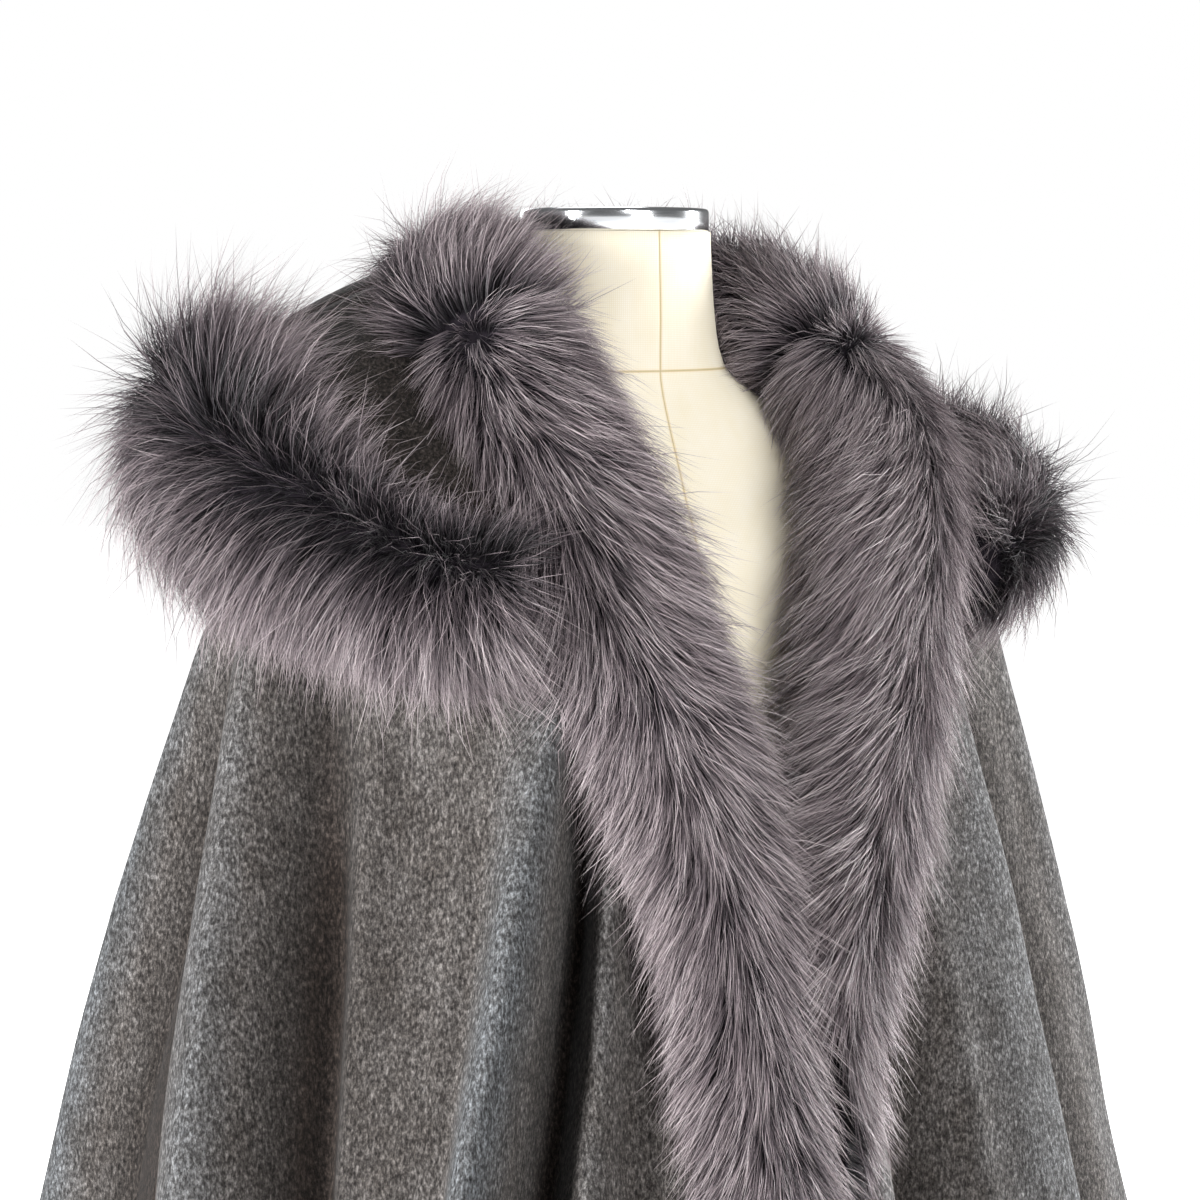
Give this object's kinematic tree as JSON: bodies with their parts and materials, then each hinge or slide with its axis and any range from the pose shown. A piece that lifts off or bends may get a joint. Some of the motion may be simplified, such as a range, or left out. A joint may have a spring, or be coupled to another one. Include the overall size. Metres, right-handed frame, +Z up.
{
  "type": "wool cape coat on a limbless dress form",
  "caption": "Grey melange wool cape with a fur collar, fur front bands and a fur-trimmed capelet, worn by an ivory linen dress form on a round stand.",
  "frame": {"origin": "centre of the stand's round base, on the surface it rests on", "axes": "+Z up along the pole, -Y towards the front of the garment, -X towards the garment's own right side"},
  "size_m": [0.9254, 0.6506, 1.5073],
  "materials": {
    "wool": "napped melange wool",
    "fur": "long guard hairs over a dense undercoat",
    "linen": "plain ivory linen",
    "chrome": "polished",
    "steel": "brushed"
  },
  "bodies": {
    "root": {"form_torso": "linen", "form_neck_cap": "chrome", "form_pole": "steel", "form_base": "steel", "cape_front_right": "wool", "cape_front_left": "wool", "cape_back_left": "wool", "cape_back_right": "wool", "fur_band_right": "fur", "fur_collar": "fur", "fur_band_left": "fur", "fur_trim_right": "fur", "fur_trim_back": "fur", "fur_trim_left": "fur", "capelet_front_left": "wool", "capelet_back_left": "wool", "capelet_back_right": "wool", "capelet_front_right": "wool"}
  },
  "joints": []
}
